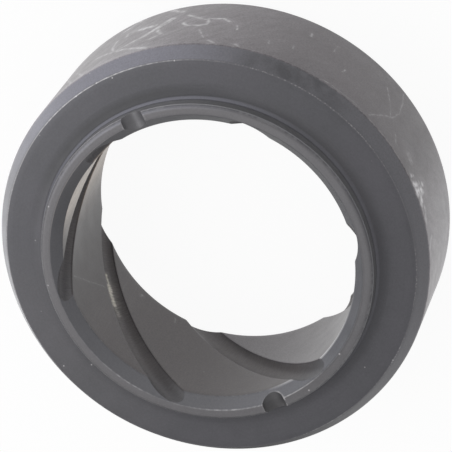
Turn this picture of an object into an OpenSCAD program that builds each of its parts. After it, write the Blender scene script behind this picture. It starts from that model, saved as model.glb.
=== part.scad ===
// Greased steel bushing with a thrust lip and helical grease grooves.
// Millimetres, +Z up, origin at the centre of the plain back end.
// The bore axis is Z, the lip faces up and its two grease notches lie on X.

/* [Body] */
// Outside diameter, a press fit in its housing
outer_d = 148; // [136:0.5:180]
// Running bore for a 100 mm pin
bore_d = 100.4; // [80:0.2:112]
// Height from the back end to the shoulder face
body_len = 51.5; // [34:0.5:90]

/* [Housing lead-in] */
// Angle of both lead-in chamfers to the axis
lead_angle = 30; // [20:1:45]
// Radial depth of the lead-in at the shoulder
lead_front = 3.5; // [1:0.1:5]
// Radial depth of the lead-in at the back end
lead_back = 2.5; // [0.5:0.1:4]

/* [Thrust lip] */
// Width of the flat on top of the lip
lip_land = 2.6; // [1:0.1:4]
// Height of the lip above the shoulder
lip_h = 5.7; // [4.4:0.1:9]
// Bevel on the lip's outer edge
lip_bevel = 0.9; // [0.3:0.1:1.2]
// Radius of the fillet at the lip's root
lip_root_r = 2.6; // [0.5:0.1:3]

/* [Bore mouths] */
// Radial depth of the chamfer from the lip into the bore
mouth_front = 3.3; // [1:0.1:5]
// Angle of that chamfer to the axis
mouth_angle = 39; // [25:1:60]
// 45 degree chamfer from the back end into the bore
mouth_back = 3.6; // [1:0.1:6]

/* [Grease grooves] */
// Number of helical grooves
groove_count = 6; // [2:1:8]
// Diameter of the round-nosed groove cutter
groove_cutter_d = 10; // [6:0.5:12]
// Depth of a groove below the bore's wall
groove_depth = 3.1; // [1.5:0.1:4]
// Axial length of one full turn of the helix
groove_lead = 306; // [180:2:600]
// Angle from X to the first groove at the shoulder face
groove_start = 15; // [0:1:60]

/* [Lip notches] */
// Number of radial notches across the lip
notch_count = 2; // [1:1:6]
// Diameter of the round notch cutter
notch_cutter_d = 8.5; // [4:0.5:12]
// Depth of a notch below the lip's top
notch_depth = 2.8; // [1.5:0.1:4]

/* [Hidden] */

$fn = 128;
// How far a cutter runs past the face that it leaves
overrun = 2;
// Twist of the groove cutter from one ring to the next
ring_twist_angle = 2.5;
// Points on the half round of the groove cutter
nose_point_count = 13;

outer_r = outer_d / 2;
bore_r = bore_d / 2;
lip_r = bore_r + mouth_front + lip_land + lip_bevel;
lip_top = body_len + lip_h;
lead_front_len = lead_front / tan(lead_angle);
lead_back_len = lead_back / tan(lead_angle);
mouth_front_len = mouth_front / tan(mouth_angle);

groove_r = groove_cutter_d / 2;
groove_axis_r = bore_r + groove_depth - groove_r;
groove_from = -overrun;
groove_to = lip_top + overrun;
groove_turn = 360 * (groove_to - groove_from) / groove_lead;
groove_rings = ceil(groove_turn / ring_twist_angle);
// The helix leans over, so a cut square to the axis is wider than the cutter
groove_lean = atan(2 * PI * bore_r / groove_lead);

notch_r = notch_cutter_d / 2;
notch_axis_z = lip_top - notch_depth + notch_r;

// Half section of the turned blank: radius across, height up
module blank_section() {
    polygon([
        [bore_r + mouth_back, 0],
        [outer_r - lead_back, 0],
        [outer_r, lead_back_len],
        [outer_r, body_len - lead_front_len],
        [outer_r - lead_front, body_len],
        [lip_r, body_len],
        [lip_r, lip_top - lip_bevel],
        [lip_r - lip_bevel, lip_top],
        [bore_r + mouth_front, lip_top],
        [bore_r, lip_top - mouth_front_len],
        [bore_r, mouth_back],
    ]);
    translate([lip_r, body_len])
        difference() {
            square(lip_root_r);
            translate([lip_root_r, lip_root_r])
                circle(r = lip_root_r);
        }
}

// Angle of the groove's middle at height z
function groove_angle(z) = groove_start + 360 * (z - body_len) / groove_lead;

// Point of the half-round cutter at nose angle t, at height z
function groove_point(t, z) =
    let (
        r = groove_axis_r + groove_r * cos(t),
        across = groove_r * sin(t) / cos(groove_lean),
        a = groove_angle(z) + across / bore_r * 180 / PI
    )
    [r * cos(a), r * sin(a), z];

// One helical cutter, swept ring by ring through the whole bore
module groove_cutter() {
    last = nose_point_count - 1;
    points = [
        for (i = [0 : groove_rings], k = [0 : last])
            groove_point(-90 + 180 * k / last, groove_from + (groove_to - groove_from) * i / groove_rings)
    ];
    sides = [
        for (i = [0 : groove_rings - 1], k = [0 : last])
            let (
                a = i * nose_point_count + k,
                b = i * nose_point_count + (k + 1) % nose_point_count
            )
            each [
                [a, a + nose_point_count, b],
                [b, a + nose_point_count, b + nose_point_count],
            ]
    ];
    bottom = [for (k = [0 : last]) k];
    top = [for (k = [last : -1 : 0]) groove_rings * nose_point_count + k];
    polyhedron(points, concat(sides, [bottom, top]));
}

// One radial notch from the bore out through the lip's wall
module notch_cutter() {
    translate([0, 0, notch_axis_z])
        rotate([0, 90, 0])
            cylinder(r = notch_r, h = lip_r + lip_root_r + overrun);
}

module bushing() {
    color([0.38, 0.38, 0.4])
        difference() {
            rotate_extrude()
                blank_section();
            for (i = [0 : groove_count - 1])
                rotate(360 * i / groove_count)
                    groove_cutter();
            for (i = [0 : notch_count - 1])
                rotate(360 * i / notch_count)
                    notch_cutter();
        }
}

bushing();
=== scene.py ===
import math

import bpy
from mathutils import Matrix, Vector


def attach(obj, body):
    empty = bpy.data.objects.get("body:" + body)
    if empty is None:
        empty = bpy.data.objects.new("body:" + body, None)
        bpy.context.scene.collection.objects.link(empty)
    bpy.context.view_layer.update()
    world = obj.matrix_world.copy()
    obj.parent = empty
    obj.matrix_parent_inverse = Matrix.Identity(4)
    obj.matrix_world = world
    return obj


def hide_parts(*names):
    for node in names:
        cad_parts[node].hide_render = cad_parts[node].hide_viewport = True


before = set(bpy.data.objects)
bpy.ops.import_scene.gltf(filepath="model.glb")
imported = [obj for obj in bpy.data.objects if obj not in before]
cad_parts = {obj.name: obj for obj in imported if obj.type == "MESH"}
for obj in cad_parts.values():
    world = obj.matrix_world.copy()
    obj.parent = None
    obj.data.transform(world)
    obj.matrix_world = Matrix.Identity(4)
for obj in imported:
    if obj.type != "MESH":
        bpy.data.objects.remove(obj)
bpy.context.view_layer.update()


# The bushing: one ring of steel, turned all over, with a raised thrust lip at one end.
# Six helical grease grooves are milled along the bore with a round-nosed cutter, and one
# pass across the lip leaves two half-round notches. The finish is a dark phosphate coat.

class Flow:
    """A value in a node tree. Arithmetic on it adds Math nodes to that tree."""

    def __init__(self, tree, socket):
        self.tree = tree
        self.socket = socket

    def node(self, kind, settings, inputs):
        """Adds a node: its settings first, then its sockets by name or number. Returns it."""
        node = self.tree.nodes.new(kind)
        for name, value in settings.items():
            setattr(node, name, value)
        for name, value in inputs.items():
            if isinstance(value, Flow):
                self.tree.links.new(value.socket, node.inputs[name])
            else:
                node.inputs[name].default_value = value
        return node

    def out(self, kind, settings, inputs, output=0):
        """The same, but returns one of the node's outputs as a Flow."""
        return Flow(self.tree, self.node(kind, settings, inputs).outputs[output])

    def math(self, operation, *values):
        return self.out("ShaderNodeMath", {"operation": operation}, dict(enumerate(values)))

    def __add__(self, other):
        return self.math("ADD", self, other)

    def __radd__(self, other):
        return self.math("ADD", other, self)

    def __sub__(self, other):
        return self.math("SUBTRACT", self, other)

    def __rsub__(self, other):
        return self.math("SUBTRACT", other, self)

    def __mul__(self, other):
        return self.math("MULTIPLY", self, other)

    def __rmul__(self, other):
        return self.math("MULTIPLY", other, self)

    def __truediv__(self, other):
        return self.math("DIVIDE", self, other)

    def __rtruediv__(self, other):
        return self.math("DIVIDE", other, self)

    def __abs__(self):
        return self.math("ABSOLUTE", self)

    def clamped(self):
        return self.math("MAXIMUM", self.math("MINIMUM", self, 1.0), 0.0)


# Sizes of the ring in metres, as its drawing gives them.
ring_sizes = {
    "Outer Radius": 0.074,
    "Bore Radius": 0.0502,
    "Body Length": 0.0515,
    "Lead Front": 0.0035,
    "Lead Back": 0.0025,
    "Lead Slope": 1 / math.tan(math.radians(30)),
    "Lip Land": 0.0026,
    "Lip Height": 0.0057,
    "Lip Bevel": 0.0009,
    "Root Radius": 0.0026,
    "Mouth Front": 0.0033,
    "Mouth Front Slope": 1 / math.tan(math.radians(39)),
    "Mouth Back": 0.0036,
    "Mouth Back Slope": 1.0,
    "Edge Break": 0.0004,
    "Groove Count": 6.0,
    "Groove Cutter Radius": 0.005,
    "Groove Depth": 0.0031,
    "Groove Lead": 0.306,
    "Groove Start": math.radians(15),
    "Notch Cutter Radius": 0.00425,
    "Notch Depth": 0.0028,
}
# The photograph shows the notches turned by this angle from its right-hand side.
notch_turn = math.radians(110.6)


def ring_tree(steel):
    """Turns the section round the axis, draws the grooves into it and mills the notches."""
    tree = bpy.data.node_groups.new("turned_ring", "GeometryNodeTree")
    for name in ring_sizes:
        tree.interface.new_socket(name, in_out="INPUT", socket_type="NodeSocketFloat")
    tree.interface.new_socket("Ring", in_out="OUTPUT", socket_type="NodeSocketGeometry")
    entry = tree.nodes.new("NodeGroupInput")
    size = {name: Flow(tree, entry.outputs[name]) for name in ring_sizes}
    outer, bore, body = size["Outer Radius"], size["Bore Radius"], size["Body Length"]
    slope, bevel = size["Lead Slope"], size["Lip Bevel"]
    front, front_slope = size["Mouth Front"], size["Mouth Front Slope"]
    back, back_slope = size["Mouth Back"], size["Mouth Back Slope"]
    lip = bore + front + size["Lip Land"] + bevel
    edge, root = size["Edge Break"], size["Root Radius"]
    top = body + size["Lip Height"]
    flow = outer

    # The section's corners, radius across and height up, each with its edge radius.
    corners = [
        (bore + back, 0.0, edge),
        (outer - size["Lead Back"], 0.0, edge),
        (outer, size["Lead Back"] * slope, edge * 1.5),
        (outer, body - size["Lead Front"] * slope, edge * 1.2),
        (outer - size["Lead Front"], body, edge),
        (lip, body, root),
        (lip, top - bevel, edge * 0.6),
        (lip - bevel, top, edge * 2.0),
        (bore + front, top, edge * 0.4),
        (bore, top - front * front_slope, edge * 0.8),
        (bore, back * back_slope, edge * 0.8),
    ]
    index = flow.out("GeometryNodeInputIndex", {}, {})
    places = flow.node("GeometryNodeIndexSwitch", {"data_type": "VECTOR"}, {})
    radii = flow.node("GeometryNodeIndexSwitch", {"data_type": "FLOAT"}, {})
    for switch in (places, radii):
        while len(switch.index_switch_items) < len(corners):
            switch.index_switch_items.new()
        tree.links.new(index.socket, switch.inputs[0])
    for i, (across, up, radius) in enumerate(corners):
        place = flow.out("ShaderNodeCombineXYZ", {}, {"X": across, "Y": up})
        tree.links.new(place.socket, places.inputs[i + 1])
        tree.links.new(radius.socket, radii.inputs[i + 1])

    line = flow.out("GeometryNodeMeshLine", {}, {"Count": len(corners)})
    line = flow.out("GeometryNodeSetPosition", {}, {
        "Geometry": line, "Position": Flow(tree, places.outputs[0])})
    section = flow.out("GeometryNodeMeshToCurve", {}, {"Mesh": line})
    section = flow.out("GeometryNodeSetSplineCyclic", {}, {"Geometry": section, "Cyclic": True})
    edge_points = 3
    section = flow.out("GeometryNodeFilletCurve", {"mode": "POLY"}, {
        "Curve": section, "Radius": Flow(tree, radii.outputs[0]), "Count": edge_points})

    # Long runs get more rows, closest at the mouths, where grooves and notches are cut.
    wall_pitch, inner_pitch, mouth_pitch = 0.014, 0.0022, 0.0007
    wall_margin, lip_margin = 0.001, 0.0005
    here = flow.out("GeometryNodeInputPosition", {}, {})
    points = flow.out("GeometryNodeAttributeDomainSize", {"component": "CURVE"}, {
        "Geometry": section}, "Point Count")
    following = flow.out("GeometryNodeFieldAtIndex", {"data_type": "FLOAT_VECTOR", "domain": "POINT"}, {
        "Index": index.math("FLOORED_MODULO", index + 1.0, points), "Value": here})
    run = flow.out("ShaderNodeVectorMath", {"operation": "DISTANCE"}, {0: here, 1: following}, 1)
    halfway = flow.out("ShaderNodeMix", {"data_type": "VECTOR"}, {0: 0.5, 4: here, 5: following}, 1)
    split = flow.node("ShaderNodeSeparateXYZ", {}, {"Vector": halfway})
    across, height = Flow(tree, split.outputs["X"]), Flow(tree, split.outputs["Y"])
    near_lip = height.math("GREATER_THAN", height, body)
    near_lip = near_lip * across.math("LESS_THAN", across, lip + lip_margin)
    near_back = height.math("LESS_THAN", height, back * back_slope)
    near_back = near_back * across.math("LESS_THAN", across, bore + back)
    inside = across.math("LESS_THAN", across, outer - wall_margin)
    pitch = wall_pitch - (wall_pitch - inner_pitch) * inside
    pitch = pitch - (inner_pitch - mouth_pitch) * (near_lip + near_back).clamped()
    section = flow.out("GeometryNodeSubdivideCurve", {}, {
        "Curve": section, "Cuts": run.math("FLOOR", run / pitch)})

    # The turned blank: every section point at every column round the axis.
    columns = 840
    drawn = flow.node("GeometryNodeCaptureAttribute", {}, {"Geometry": section})
    drawn.capture_items.new("VECTOR", "Section")
    tree.links.new(here.socket, drawn.inputs["Section"])
    circle = flow.out("GeometryNodeCurvePrimitiveCircle", {"mode": "RADIUS"}, {
        "Resolution": columns, "Radius": 1.0})
    turned = flow.node("GeometryNodeCaptureAttribute", {}, {"Geometry": circle})
    turned.capture_items.new("FLOAT", "Column")
    tree.links.new(index.socket, turned.inputs["Column"])
    ring = flow.out("GeometryNodeCurveToMesh", {}, {
        "Curve": Flow(tree, turned.outputs["Geometry"]),
        "Profile Curve": Flow(tree, drawn.outputs["Geometry"])})
    section_at = flow.node("ShaderNodeSeparateXYZ", {}, {"Vector": Flow(tree, drawn.outputs["Section"])})
    r, z = Flow(tree, section_at.outputs["X"]), Flow(tree, section_at.outputs["Y"])
    column = Flow(tree, turned.outputs["Column"]) * (2 * math.pi / columns)

    # The columns lean with the helix, so a groove keeps to its own columns all the way.
    middle = (top - front * front_slope + back * back_slope) * 0.5
    half = (top - front * front_slope - back * back_slope) * 0.5
    turn = 2 * math.pi / size["Groove Lead"]
    lean = (bore * turn).math("ARCTANGENT", bore * turn)
    spacing = 2 * math.pi / size["Groove Count"]
    first = size["Groove Start"] + (middle - body) * turn
    off_groove = column.math("WRAP", column - first, spacing * 0.5, spacing * -0.5)
    across = off_groove * bore * lean.math("COSINE", lean)
    cutter = size["Groove Cutter Radius"]
    nose = (cutter * cutter - across * across).math("MAXIMUM", cutter * cutter - across * across, 0.0)
    sunk = nose.math("SQRT", nose) - (cutter - size["Groove Depth"])
    sunk = sunk.math("MAXIMUM", sunk, 0.0)

    # A groove runs out through both mouths: its edges slide along their chamfers.
    upper = z.math("GREATER_THAN", z, middle)
    mouth = upper * front + (1 - upper) * back
    slide = upper * front_slope - (1 - upper) * back_slope
    up_mouth = ((r - bore) / mouth).clamped()
    cut = sunk * (1 - up_mouth)
    z_cut = z + cut * slide * (abs(z - middle) / half).clamped()
    r_cut = r + cut
    fade = ((outer - size["Lead Front"] - r) / (outer - size["Lead Front"] - lip - root)).clamped()
    angle = column + (z_cut - middle) * turn * fade
    place = flow.out("ShaderNodeCombineXYZ", {}, {
        "X": r_cut * angle.math("COSINE", angle), "Y": r_cut * angle.math("SINE", angle), "Z": z_cut})
    in_groove = (sunk / size["Groove Depth"]) * up_mouth.math("LESS_THAN", up_mouth, 0.02)
    ring = flow.out("GeometryNodeStoreNamedAttribute", {"data_type": "FLOAT", "domain": "POINT"}, {
        "Geometry": ring, "Name": "groove", "Value": in_groove})
    ring = flow.out("GeometryNodeSetPosition", {}, {"Geometry": ring, "Position": place})

    # One round cutter crosses the lip along X.
    notch = size["Notch Cutter Radius"]
    cutter_mesh = flow.out("GeometryNodeMeshCylinder", {}, {
        "Vertices": 96, "Radius": notch, "Depth": outer * 2.0})
    cutter_mesh = flow.out("GeometryNodeTransform", {}, {
        "Geometry": cutter_mesh,
        "Translation": flow.out("ShaderNodeCombineXYZ", {}, {"Z": top - size["Notch Depth"] + notch}),
        "Rotation": (0.0, math.pi / 2, 0.0)})
    ring = flow.out("GeometryNodeMeshBoolean", {"operation": "DIFFERENCE", "solver": "MANIFOLD"}, {
        0: ring, 1: cutter_mesh})

    # Turned surfaces are smooth; every true edge stays crisp.
    crisp_from = math.radians(28)
    bend = flow.out("GeometryNodeInputMeshEdgeAngle", {}, {})
    ring = flow.out("GeometryNodeSetShadeSmooth", {"domain": "FACE"}, {
        "Geometry": ring, "Shade Smooth": True})
    ring = flow.out("GeometryNodeSetShadeSmooth", {"domain": "EDGE"}, {
        "Geometry": ring, "Selection": bend.math("GREATER_THAN", bend, crisp_from), "Shade Smooth": False})
    ring = flow.out("GeometryNodeRealizeInstances", {}, {"Geometry": ring})
    ring = flow.out("GeometryNodeSetMaterial", {}, {"Geometry": ring, "Material": steel})
    leave = tree.nodes.new("NodeGroupOutput")
    tree.links.new(ring.socket, leave.inputs["Ring"])
    return tree


# Scuffs and scratches on the outside wall, each with its half width in millimetres, its strength
# and its course: degrees round from the photograph's right, millimetres up from the shoulder.
wall_marks = [
    (0.30, 0.42, [(40, -8.5), (36, -19), (34, -22), (32.5, -30), (33, -39.5), (34, -45)]),
    (0.28, 0.32, [(34.5, -22), (36, -29), (39, -37.5)]),
    (0.35, 0.35, [(29.5, -11), (31, -15.5)]),
    (0.30, 0.70, [(51.5, -22), (51, -24.5)]),
    (0.30, 0.50, [(65.5, -19), (65.5, -21)]),
    (0.40, 0.45, [(71.5, -16), (72, -18)]),
    (0.30, 0.36, [(56, -32.5), (55.5, -38)]),
    (0.45, 0.60, [(63, -35), (63, -37.5)]),
    (0.30, 0.60, [(81, -22), (81.5, -26)]),
    (0.32, 0.50, [(88, -12), (89.5, -17), (90.5, -20)]),
    (0.60, 0.80, [(90, -31), (89.5, -26), (91.5, -24.5), (95, -25), (96.5, -29)]),
    (0.60, 0.80, [(84, -28.5), (86, -31.5), (91, -30.5), (93, -33), (96.5, -36.5)]),
    (0.80, 0.90, [(103, -7.5), (108, -12.5), (114, -17), (121, -22)]),
    (0.85, 1.00, [(114, -17), (107.5, -21), (104, -28), (101, -36.5)]),
    (0.60, 0.85, [(114, -17), (116, -24), (116.5, -32)]),
    (0.65, 0.75, [(103.5, -17), (101, -20), (103, -26)]),
    (1.20, 1.30, [(105.5, -32.5), (108, -33), (111.5, -35)]),
    (0.55, 0.75, [(106.5, -21.5), (103, -28), (100, -35.5)]),
    (0.70, 0.80, [(113.5, -32), (114, -35.5)]),
    (0.80, 0.70, [(99, -42), (103, -46)]),
    (0.80, 0.85, [(116.5, -42), (112, -45.5), (114, -48)]),
    (0.40, 0.60, [(122, -7.5), (128, -23)]),
    (0.40, 0.50, [(126, -8), (134, -30)]),
    (1.20, 0.90, [(13, -8), (14.5, -11), (15.5, -15.5)]),
    (1.30, 1.00, [(16.5, -7.5), (15, -14.5)]),
    (1.00, 0.90, [(18.5, -7.5), (17, -13)]),
    (0.50, 0.60, [(21, -8), (20, -11)]),
    (0.70, 0.60, [(1, -7.5), (2.5, -11.5)]),
    (0.70, 0.50, [(8, -7.5), (11, -10)]),
    (1.40, 0.35, [(23, -15), (24.5, -16)]),
    (0.20, 0.50, [(43, -7.3), (55, -7.3)]),
    (0.60, 0.60, [(78, -7.5), (79, -8.5)]),
    (0.60, 0.55, [(84.5, -7.5), (86, -9)]),
]
# The same in the bore: one fine scratch and two nicks.
bore_marks = [
    (0.22, 0.25, [(190, -5), (197, -15), (205, -25)]),
    (0.40, 0.50, [(220.5, -42.5), (221, -44)]),
    (0.30, 0.42, [(238, -42), (237.5, -45)]),
]
# And in a groove: the course of a painted highlight along one flank, which the cutter's chatter breaks up.
groove_marks = [
    (0.35, 0.75, [(204.6, -37.1), (208, -34)]),
    (0.60, 1.00, [(208, -34), (214.5, -28.5)]),
    (0.75, 0.20, [(214.5, -28.5), (218, -25.6)]),
]
# Dots where the coat is chipped right through: degrees, radius and millimetres up from the shoulder.
handling_dots = [
    (187.8, 56.0, 5.5), (157.8, 56.0, 5.5), (93.8, 70.4, 0.0), (117.0, 70.5, 0.0), (124.2, 70.4, 0.0),
    (304.8, 55.5, 5.7), (323.5, 53.8, 5.7), (328.5, 70.4, 0.0),
]


def phosphate_steel():
    """Dark phosphate coat, rubbed bright along the edges and scuffed on the outside wall, with painted
    highlights, reflections and shade laid into its colour on chosen sides of the ring.
    """
    material = bpy.data.materials.new("phosphate_steel")
    material.use_nodes = True
    tree = material.node_tree
    shader = tree.nodes["Principled BSDF"]
    flow = Flow(tree, None)
    outer, bore, body = (ring_sizes[name] for name in ("Outer Radius", "Bore Radius", "Body Length"))
    top = body + ring_sizes["Lip Height"]
    mouth_r = bore + ring_sizes["Mouth Front"]
    mouth_z = top - ring_sizes["Mouth Front"] * ring_sizes["Mouth Front Slope"]
    lip_r = mouth_r + ring_sizes["Lip Land"] + ring_sizes["Lip Bevel"]
    face_r = outer - ring_sizes["Lead Front"]
    seat_z = body - ring_sizes["Lead Front"] * ring_sizes["Lead Slope"]

    # Where a point lies on the ring: its radius, its height and its angle.
    place = flow.out("ShaderNodeTexCoord", {}, {}, "Object")
    split = flow.node("ShaderNodeSeparateXYZ", {}, {"Vector": place})
    x, y, z = (Flow(tree, socket) for socket in split.outputs)
    r = x.math("SQRT", x * x + y * y)
    angle = y.math("ARCTAN2", y, x)
    angle = angle.math("WRAP", angle + notch_turn, math.radians(330), math.radians(-30))
    groove = flow.out("ShaderNodeAttribute", {"attribute_name": "groove"}, {}, "Fac")

    def noise(scale, detail=2.0, vector=place):
        return flow.out("ShaderNodeTexNoise", {}, {"Vector": vector, "Scale": scale, "Detail": detail})

    def ramp(value, low, high):
        """0 below low, 1 above high, straight between; the other way round where low is the higher."""
        return ((value - low) / (high - low)).clamped()

    def toward(degrees, spread):
        """1 on the side of the ring that faces this way in the photograph, 0 from spread degrees on."""
        lobe = angle.math("COSINE", angle - math.radians(degrees))
        return ramp(lobe, math.cos(math.radians(spread)), 1.0)

    def edge(edge_r, edge_z, reach):
        """1 on a circular edge of the ring, falling to 0 at a distance of reach."""
        away = r.math("SQRT", (r - edge_r) * (r - edge_r) + (z - edge_z) * (z - edge_z))
        return (1 - away / reach).clamped()

    def blend(share, low, high):
        return flow.out("ShaderNodeMix", {"data_type": "RGBA"}, {0: share, 6: low, 7: high}, 2)

    def marks(strokes, radius):
        """How strongly a point is marked by strokes drawn on a wall of this radius."""
        unsteady = 0.8
        waver = flow.out("ShaderNodeVectorMath", {"operation": "MULTIPLY_ADD"}, {
            0: flow.out("ShaderNodeTexNoise", {}, {
                "Vector": place, "Scale": 190.0, "Detail": 4.0}, "Color"),
            1: (2 * unsteady, 2 * unsteady, 0.0), 2: (-unsteady, -unsteady, 0.0)})
        here = flow.out("ShaderNodeCombineXYZ", {}, {
            "X": angle * (radius * 1000), "Y": (z - body) * 1000})
        here = flow.out("ShaderNodeVectorMath", {"operation": "ADD"}, {0: here, 1: waver})
        total = None
        for half_width, strength, course in strokes:
            course = [Vector((math.radians(turn) * radius * 1000, up, 0)) for turn, up in course]
            nearest = None
            for start, end in zip(course, course[1:]):
                run = end - start
                rel = flow.out("ShaderNodeVectorMath", {"operation": "SUBTRACT"}, {0: here, 1: start})
                along = flow.out("ShaderNodeVectorMath", {"operation": "DOT_PRODUCT"}, {
                    0: rel, 1: run / run.length_squared}, 1).clamped()
                foot = flow.out("ShaderNodeVectorMath", {"operation": "SCALE"}, {0: run, "Scale": along})
                away = flow.out("ShaderNodeVectorMath", {"operation": "DISTANCE"}, {0: rel, 1: foot}, 1)
                nearest = away if nearest is None else away.math("MINIMUM", nearest, away)
            halo = 0.16 * ramp(nearest, half_width * 4.5, 0.0)
            mark = halo.math("MAXIMUM", halo, ramp(nearest, half_width * 1.7, half_width * 0.1)) * strength
            total = mark if total is None else mark.math("MAXIMUM", total, mark)
        return total

    # The parts of the surface, each a mask.
    on_wall = ramp(r, outer - 0.0004, outer - 0.0001)
    in_groove = ramp(groove, 0.02, 0.2)
    inner = ramp(r, mouth_r + 0.0002, mouth_r)
    in_mouth = inner * ramp(z, mouth_z - 0.0003, mouth_z + 0.0001) * (1 - in_groove)
    past_mouth = inner * (1 - in_mouth)
    in_bore = past_mouth * (1 - in_groove)
    on_lead = ramp(r, face_r, face_r + 0.0003) * (1 - on_wall) * ramp(z, seat_z - 0.0005, seat_z)
    on_lip = ramp(z, top - 0.0005, top - 0.0001)
    by_root = ramp(r, lip_r + 0.0056, lip_r + 0.0032) * ramp(r, lip_r + 0.0005, lip_r + 0.0012)
    in_root = ramp(z, body + 0.00035, body + 0.0007) * ramp(z, body + 0.0019, body + 0.0013) * ramp(
        r, lip_r + 0.003, lip_r + 0.002) * ramp(r, lip_r - 0.0005, lip_r)
    bevel_r, bevel_z = lip_r - ring_sizes["Lip Bevel"] / 2, top - ring_sizes["Lip Bevel"] / 2
    on_bevel = edge(bevel_r - 0.0003, bevel_z + 0.0003, 0.0009)
    lip_wall = ramp(r, lip_r + 0.0008, lip_r + 0.0002) * ramp(r, lip_r - 0.0003, lip_r - 0.0001) * ramp(
        z, body + 0.0012, body + 0.0024)
    notch_z = top - ring_sizes["Notch Depth"] + ring_sizes["Notch Cutter Radius"]
    off_notch = y.math("SQRT", y * y + (z - notch_z) * (z - notch_z)) - ring_sizes["Notch Cutter Radius"]
    at_lip = ramp(r, lip_r + 0.003, lip_r + 0.002) * ramp(z, mouth_z - 0.001, mouth_z)
    in_notch = ramp(off_notch, 0.00008, 0.00004) * at_lip
    notch_rim = ramp(off_notch, 0.0006, 0.0002) * at_lip * (1 - in_notch)

    left_side = toward(155, 75)
    low_side = toward(250, 75)

    # The coat: cool grey where it was turned, browner on the two fitted walls, darker in the cuts.
    cloudy = noise(28.0, 3.0)
    blotchy = noise(160.0, 3.0)
    grain = noise(1700.0, 3.0)
    rings = noise(1.0, 2.0, flow.out("ShaderNodeCombineXYZ", {}, {
        "X": r * 3200, "Y": z * 3200, "Z": angle * 2.5}))
    streaks = noise(1.0, 2.0, flow.out("ShaderNodeCombineXYZ", {}, {
        "X": angle * 90, "Y": z * 35, "Z": r * 20}))
    across_drag, along_drag = angle * 70 - z * 816, angle * 4.4 + z * 69

    def dragged(width, length):
        """Noise drawn out along the way that the housing rubbed the outside wall."""
        return noise(1.0, 3.0, flow.out("ShaderNodeCombineXYZ", {}, {
            "X": across_drag / width, "Y": along_drag / length}))

    drag = dragged(1.0, 1.0)

    # The shoulder face and the two fitted walls.
    coat = blend(cloudy, (0.0745, 0.0760, 0.0820, 1), (0.0975, 0.0935, 0.1065, 1))
    # Painted light: the coat is lighter towards the lower left.
    coat = blend(toward(216, 42) * 0.35, coat, (0.124, 0.121, 0.126, 1))
    walls = (on_wall + in_bore).clamped()
    coat = blend(walls * ramp(cloudy, 0.15, 0.5), coat, (0.084, 0.0745, 0.081, 1))
    coat = blend(in_bore, coat, (0.086, 0.077, 0.079, 1))

    # The lead-in chamfer, mostly painted light: lighter all round but on the lower side, a painted bluish
    # highlight on the upper left, a dirty patch at one place, and painted shade on the lower right.
    coat = blend(on_lead * (1 - low_side), coat, (0.113, 0.111, 0.122, 1))
    coat = blend(on_lead * toward(116, 43) * 0.85, coat, (0.250, 0.249, 0.290, 1))
    coat = blend(on_lead * toward(61, 18) * ramp(blotchy, 0.35, 0.6) * 0.7, coat, (0.055, 0.055, 0.060, 1))
    coat = blend(on_lead * toward(305, 30) * 0.4, coat, (0.070, 0.070, 0.073, 1))

    # The lip's wall and top, and the mouth of the bore, with painted light: a highlight on the wall's
    # upper left, the top lighter towards the right, the mouth lighter on the upper left and lower right
    # and darker on the upper right.
    coat = blend(lip_wall * 0.9, coat, (0.200, 0.199, 0.206, 1))
    coat = blend(lip_wall * toward(120, 45) * 0.7, coat, (0.330, 0.328, 0.345, 1))
    coat = blend(on_lip, coat, (0.134, 0.130, 0.137, 1))
    coat = blend(on_lip * toward(20, 70) * 0.4, coat, (0.175, 0.173, 0.182, 1))
    coat = blend(in_mouth, coat, (0.142, 0.142, 0.153, 1))
    coat = blend(in_mouth * toward(128, 32) * 0.5, coat, (0.220, 0.216, 0.225, 1))
    coat = blend(in_mouth * toward(325, 60) * 0.5, coat, (0.240, 0.245, 0.270, 1))
    coat = blend(in_mouth * toward(60, 45) * 0.7, coat, (0.090, 0.090, 0.096, 1))

    # The lip's root and its two edges, all painted light: painted shade beside the fillet, strongest on
    # the upper left and lifted on the upper right, a bluish painted highlight along the fillet, painted
    # highlights on the outer bevel on the upper left and lower right, and painted shade on the inner edge
    # towards the lower right.
    coat = blend(by_root * (0.12 + 0.72 * toward(122, 48)), coat, (0.034, 0.034, 0.037, 1))
    coat = blend(by_root * toward(45, 38) * 0.5, coat, (0.112, 0.111, 0.119, 1))
    coat = blend(in_root * (0.12 + 0.42 * toward(118, 65)), coat, (0.275, 0.277, 0.325, 1))
    coat = blend(on_bevel * toward(115, 45) * 0.6, coat, (0.250, 0.250, 0.285, 1))
    coat = blend(on_bevel * toward(300, 35) * 0.5, coat, (0.205, 0.205, 0.210, 1))
    coat = blend(edge(mouth_r, top, 0.0008) * toward(335, 55) * 0.6, coat, (0.05, 0.05, 0.052, 1))

    # What was milled after turning: the grooves, darker towards the lip but with painted light on the
    # lower right, and the notches, the upper one painted lighter than the other.
    groove_front = blend(toward(310, 70), (0.125, 0.121, 0.126, 1), (0.170, 0.170, 0.180, 1))
    groove_coat = blend(ramp(z, mouth_z - 0.014, mouth_z), (0.178, 0.168, 0.170, 1), groove_front)
    coat = blend(in_groove * 0.9, coat, groove_coat)
    notch_coat = blend(toward(110, 60), (0.075, 0.073, 0.076, 1), (0.138, 0.136, 0.144, 1))
    coat = blend(in_notch * 0.9, coat, notch_coat)

    # The bore: streaked, with a painted warm reflection on the upper left and painted shade beside that.
    streaked = in_bore * ramp(streaks, 0.5, 0.75) * ramp(cloudy, 0.45, 0.6)
    coat = blend(streaked * 0.2, coat, (0.17, 0.16, 0.16, 1))
    # Painted reflection: a warm light zone in the bore on the upper left.
    bore_reflection = in_bore * toward(147, 31)
    coat = blend(bore_reflection * (0.75 + 0.5 * streaks), coat, (0.48, 0.41, 0.35, 1))
    coat = blend(in_bore * toward(186, 26) * 0.9, coat, (0.055, 0.050, 0.052, 1))

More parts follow.
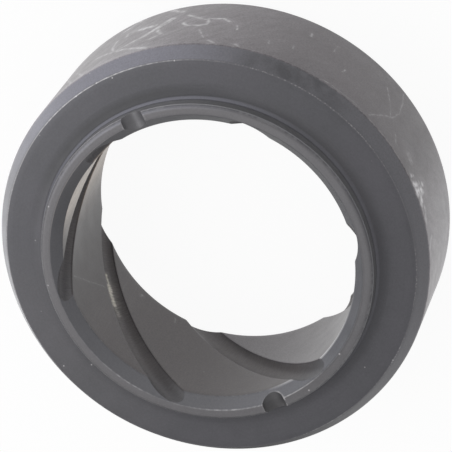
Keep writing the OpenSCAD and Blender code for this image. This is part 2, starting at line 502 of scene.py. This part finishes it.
    # Painted light: one land between two grooves is lighter than the others, from end to end.
    land = angle - (z - body) * (2 * math.pi / ring_sizes["Groove Lead"])
    land_middle = notch_turn + ring_sizes["Groove Start"] + math.radians(210)
    land_lobe = land.math("COSINE", land - land_middle)
    light_land = in_bore * ramp(land_lobe, math.cos(math.radians(30)), math.cos(math.radians(24)))
    coat = blend(light_land * 0.36, coat, (0.26, 0.25, 0.27, 1))

    # The outside wall: painted shade towards the upper right, dust mixed with a painted glow towards the
    # upper left and the right, smears from the housing on the upper left, and a painted highlight along
    # its top there.
    dusty = ramp(dragged(3.0, 0.7), 0.32, 0.76)
    # Painted shade: the wall darker towards the upper right.
    coat = blend(on_wall * toward(27, 24) * 0.3, coat, (0.05, 0.046, 0.049, 1))
    # Dust mixed with a painted glow: the wall lighter towards the upper left and the right.
    far_left = toward(122, 60) + toward(-10, 30)
    dust_and_painted_glow = on_wall * (dusty * (0.05 + 0.20 * far_left) + 0.23 * far_left)
    coat = blend(dust_and_painted_glow, coat, (0.37, 0.345, 0.37, 1))
    # Smears from the housing, shown only on the upper left, where they also stand for a painted highlight.
    smear_and_highlight = on_wall * ramp(drag, 0.50, 0.72) * ramp(dusty, 0.1, 0.6) * toward(115, 30)
    coat = blend(smear_and_highlight * 0.30, coat, (0.50, 0.48, 0.52, 1))
    # Painted highlight: a light band along the top of the wall on the upper left.
    by_lead = on_wall * ramp(z, seat_z - 0.008, seat_z) * toward(120, 27)
    coat = blend(by_lead * 0.4, coat, (0.50, 0.48, 0.51, 1))

    # Grain all over, rings from turning, and the groove cutter's chatter.
    chatter = noise(1.0, 2.0, flow.out("ShaderNodeCombineXYZ", {}, {
        "X": angle * 120 + z * 2200, "Y": angle * 30 - z * 120}))
    turned = rings * (1 - 0.7 * in_bore)
    grainy = 0.30 + 1.0 * on_wall + 0.6 * in_bore + 0.15 * on_lead
    shade = 0.80 + 0.14 * blotchy + grainy * (grain - 0.40) + 0.12 * turned
    shade = shade + 0.7 * (chatter - 0.5) * in_groove
    coat = flow.out("ShaderNodeVectorMath", {"operation": "SCALE"}, {0: coat, "Scale": shade})

    # Bare metal: rubbed edges with chips, scuffs, the small specks left by handling, then painted
    # highlights.
    chips = noise(620.0, 3.0)
    long_wear = noise(40.0, 1.0)
    ragged = ramp(chips + (long_wear - 0.5) * 0.8, 0.44, 0.66)
    nicks = ramp(noise(1500.0, 2.0), 0.48, 0.62) * ramp(long_wear, 0.35, 0.6)
    face_wear = 0.14 + 0.45 * left_side + 0.5 * nicks + 0.5 * toward(312, 28) * ragged
    lip_wear = 0.06 + 0.15 * low_side + 0.75 * toward(284, 34) + 0.5 * toward(233, 10)
    rim_wear = 0.2 + 0.7 * ramp(angle, math.radians(291), math.radians(293))
    worn = edge(face_r, body, 0.00036) * face_wear
    for rubbed in (
            edge(outer, seat_z, 0.0005) * ragged * 0.3,
            edge(mouth_r, top, 0.00042) * lip_wear * (0.22 + 0.75 * ragged),
            edge(bevel_r, bevel_z, 0.0006) * ragged * 0.2,
            edge(bore, mouth_z, 0.0004) * ragged * (1 - in_groove) * 0.25,
            notch_rim * ramp(chips, 0.4, 0.6) * rim_wear):
        worn = worn.math("MAXIMUM", worn, rubbed)
    scuffs = marks(wall_marks, outer) * on_wall
    scuffs = scuffs.math("MAXIMUM", scuffs, marks(bore_marks, bore) * past_mouth)
    scuffs = scuffs * ramp(chips, 0.28, 0.62) * (0.4 + 0.7 * ramp(blotchy, 0.38, 0.60))
    dots = flow.node("ShaderNodeTexVoronoi", {}, {"Vector": place, "Scale": 330.0})
    picked = flow.node("ShaderNodeSeparateColor", {}, {"Color": Flow(tree, dots.outputs["Color"])})
    few = ramp(Flow(tree, picked.outputs[0]), 0.96, 0.985)
    specks = ramp(Flow(tree, dots.outputs["Distance"]), 0.11, 0.05) * few
    hairs = ramp(dragged(0.45, 0.7), 0.69, 0.76) * on_wall * 0.2
    for turn, dot_r, up in handling_dots:
        turn = math.radians(turn) - notch_turn
        dot = Vector((math.cos(turn) * dot_r, math.sin(turn) * dot_r, up)) / 1000 + Vector((0, 0, body))
        away = flow.out("ShaderNodeVectorMath", {"operation": "DISTANCE"}, {0: place, 1: dot}, 1)
        worn = worn.math("MAXIMUM", worn, 0.9 * ramp(away, 0.00042, 0.00012))
    bare = worn.math("MAXIMUM", worn, scuffs)
    bare = bare.math("MAXIMUM", bare, specks * 0.8 * (1 - in_groove))
    bare = bare.math("MAXIMUM", bare, hairs).clamped()
    color = blend(bare, coat, (0.46, 0.45, 0.46, 1))
    # Painted highlight: the scuffs lighter still on the upper left and towards the right.
    color = blend(scuffs * (0.8 * toward(110, 45) + toward(15, 16)), color, (0.60, 0.59, 0.61, 1))
    # Painted highlight along the shoulder's outer edge on the upper left, broken by chips.
    bright_edge = edge(face_r, body, 0.0003) * toward(116, 30) * ramp(chips, 0.36, 0.60)
    color = blend(bright_edge * 0.6, color, (0.80, 0.80, 0.82, 1))
    # Painted highlight along the bore's front edge towards the lower right.
    lit_edge = edge(bore, mouth_z, 0.0009) * (1 - in_groove) * toward(318, 30)
    color = blend(lit_edge, color, (0.75, 0.74, 0.76, 1))
    # Painted highlight along one groove flank, warm, broken up by the cutter's chatter.
    bright_flank = (marks(groove_marks, bore) * in_groove * ramp(chatter, 0.2, 0.6) * 1.4).clamped()
    color = blend(bright_flank, color, (1.0, 0.96, 0.86, 1))
    tree.links.new(color.socket, shader.inputs["Base Color"])

    roughness = 0.42 + 0.16 * (blotchy - 0.5) + 0.08 * in_groove - 0.10 * on_wall - 0.08 * in_bore
    roughness = roughness + 0.2 * edge(mouth_r, top, 0.0008)
    tree.links.new(roughness.socket, shader.inputs["Roughness"])
    tree.links.new((0.42 + 0.3 * bare - 0.4 * bright_flank).socket, shader.inputs["Metallic"])
    relief = 0.5 * grain + 0.8 * turned
    bump = flow.out("ShaderNodeBump", {}, {"Strength": 0.12, "Distance": 0.0001, "Height": relief})
    tree.links.new(bump.socket, shader.inputs["Normal"])
    return material


steel = phosphate_steel()
blank = bpy.data.objects.new("ring_blank", bpy.data.meshes.new("ring_blank"))
bpy.context.scene.collection.objects.link(blank)
turning = blank.modifiers.new("turning", "NODES")
turning.node_group = ring_tree(steel)
for socket in turning.node_group.interface.items_tree:
    if socket.in_out == "INPUT":
        turning[socket.identifier] = ring_sizes[socket.name]
evaluated = blank.evaluated_get(bpy.context.evaluated_depsgraph_get())
ring_mesh = bpy.data.meshes.new_from_object(evaluated)
bpy.data.objects.remove(blank)
bushing = bpy.data.objects.new("bushing_ring", ring_mesh)
bpy.context.scene.collection.objects.link(bushing)
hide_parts("bushing")
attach(bushing, "root")


# The floor: a plain white sheet that the bushing stands on with its back end down.
# It shows white to the eye and in the steel, apart from a painted shadow that only the steel mirrors, on
# the eye's side of the ring, and it keeps a faint part of the real shadow.
floor_mesh = bpy.data.meshes.new("floor")
reach = 3.0
floor_mesh.from_pydata([(-reach, -reach, 0), (reach, -reach, 0), (reach, reach, 0), (-reach, reach, 0)],
                       [], [(0, 1, 2, 3)])
floor = bpy.data.objects.new("floor", floor_mesh)
bpy.context.scene.collection.objects.link(floor)
floor_paper = bpy.data.materials.new("floor_paper")
floor_paper.use_nodes = True
tree = floor_paper.node_tree
tree.nodes.remove(tree.nodes["Principled BSDF"])
flow = Flow(tree, None)
rays = flow.node("ShaderNodeLightPath", {}, {})
mirrored = Flow(tree, rays.outputs["Is Glossy Ray"])
seen = Flow(tree, rays.outputs["Is Camera Ray"]) + mirrored
seen = (seen + Flow(tree, rays.outputs["Is Transmission Ray"])).clamped()
split = flow.node("ShaderNodeSeparateXYZ", {}, {
    "Vector": flow.out("ShaderNodeTexCoord", {}, {}, "Object")})
x, y = (Flow(tree, socket) for socket in split.outputs[:2])
turn = y.math("ARCTAN2", y, x)
turn = turn.math("WRAP", turn + notch_turn, math.radians(360), 0.0)
# Painted shadow: in the steel's reflection only, the floor turns dark on the eye's side of the ring.
shadow_turn, shadow_edge = math.radians(258), math.cos(math.radians(40))
shadow_from, shadow_fade = 0.068, 0.006
mirrored_shadow = ((turn.math("COSINE", turn - shadow_turn) - shadow_edge) / (1 - shadow_edge)).clamped()
mirrored_shadow = mirrored_shadow * ((x.math("SQRT", x * x + y * y) - shadow_from) / shadow_fade).clamped()
glow = flow.out("ShaderNodeMix", {"data_type": "RGBA"}, {
    0: mirrored_shadow * mirrored, 6: (1, 1, 1, 1), 7: (0.15, 0.15, 0.15, 1)}, 2)
matte = flow.out("ShaderNodeBsdfDiffuse", {}, {"Color": (0.85, 0.85, 0.85, 1)})
white = flow.out("ShaderNodeEmission", {}, {"Color": glow, "Strength": 1.0})
white_share = 0.94
mixed = flow.out("ShaderNodeMixShader", {}, {0: seen * white_share, 1: matte, 2: white})
tree.links.new(mixed.socket, tree.nodes["Material Output"].inputs["Surface"])
floor_mesh.materials.append(floor_paper)


# The studio: a pale grey room that is brighter low down on the photograph's upper left.
# The eye sees it white.
world = bpy.data.worlds.new("studio")
bpy.context.scene.world = world
world.use_nodes = True
tree = world.node_tree
flow = Flow(tree, None)
rays = flow.node("ShaderNodeLightPath", {}, {})
eye = Flow(tree, rays.outputs["Is Camera Ray"])
split = flow.node("ShaderNodeSeparateXYZ", {}, {
    "Vector": flow.out("ShaderNodeTexCoord", {}, {}, "Generated")})
x, y, z = (Flow(tree, socket) for socket in split.outputs)
turn = y.math("ARCTAN2", y, x) + notch_turn
bright_turn, bright_edge = math.radians(120), math.cos(math.radians(110))
bright_height, room_level, bright_level = 0.7, 0.66, 0.75
low_light = ((turn.math("COSINE", turn - bright_turn) - bright_edge) / (1 - bright_edge)).clamped()
low_light = low_light * (1 - z / bright_height).clamped()
background = tree.nodes["Background"]
background.inputs["Strength"].default_value = 1.0
studio = room_level + bright_level * low_light
tree.links.new((studio + eye * (1 - studio)).socket, background.inputs["Color"])


# The camera, on the photograph's own axes: right, up and back towards the eye.
# Its place and its axes are those that fit the ring's circles in the photograph.
shoulder = Vector((0, 0, ring_sizes["Body Length"]))
turn_to_notch = Matrix.Rotation(-notch_turn, 3, "Z")
right = turn_to_notch @ Vector((0.96999, -0.09296, -0.22467))
up = turn_to_notch @ Vector((0.0, 0.92403, -0.38232))
back = turn_to_notch @ Vector((0.24314, 0.37085, 0.89630))
eye_point = shoulder + turn_to_notch @ Vector((0.2497, 0.38178, 0.89419))
lens = bpy.data.cameras.new("eye")
lens.sensor_fit = "HORIZONTAL"
frame_pixels, focal_pixels = 452, 3000
lens.sensor_width = 36.0
lens.lens = lens.sensor_width * focal_pixels / frame_pixels
lens.clip_start = 0.05
eye_object = bpy.data.objects.new("eye", lens)
eye_object.matrix_world = Matrix.Translation(eye_point) @ Matrix((right, up, back)).transposed().to_4x4()
bpy.context.scene.collection.objects.link(eye_object)
bpy.context.scene.camera = eye_object


# The lamps: a large soft box high on the photograph's left, and a weak one that lies low beside
# the ring on the same side, faces up and lights the lead-in chamfer.
def soft_box(name, place, aim, wide, high, power, color=(1, 1, 1)):
    """An area lamp at a place that shines along aim, both on the photograph's own axes."""
    lamp = bpy.data.lights.new(name, "AREA")
    lamp.shape = "RECTANGLE"
    lamp.size = wide
    lamp.size_y = high
    lamp.energy = power
    lamp.color = color
    box = bpy.data.objects.new(name, lamp)
    box.location = shoulder + turn_to_notch @ Vector(place)
    box.rotation_euler = (turn_to_notch @ Vector(aim)).to_track_quat("-Z", "Y").to_euler()
    box.visible_camera = False
    bpy.context.scene.collection.objects.link(box)


soft_box("overhead_box", (-0.32, 0.0, 0.45), (0.32, 0.0, -0.45), 0.4, 0.4, 1.2)
soft_box("low_table", (-0.205, -0.02, -0.050), (0.0, 0.0, 1.0), 0.17, 0.24, 0.14, (0.96, 0.97, 1.0))
bpy.context.scene.view_settings.view_transform = "Standard"
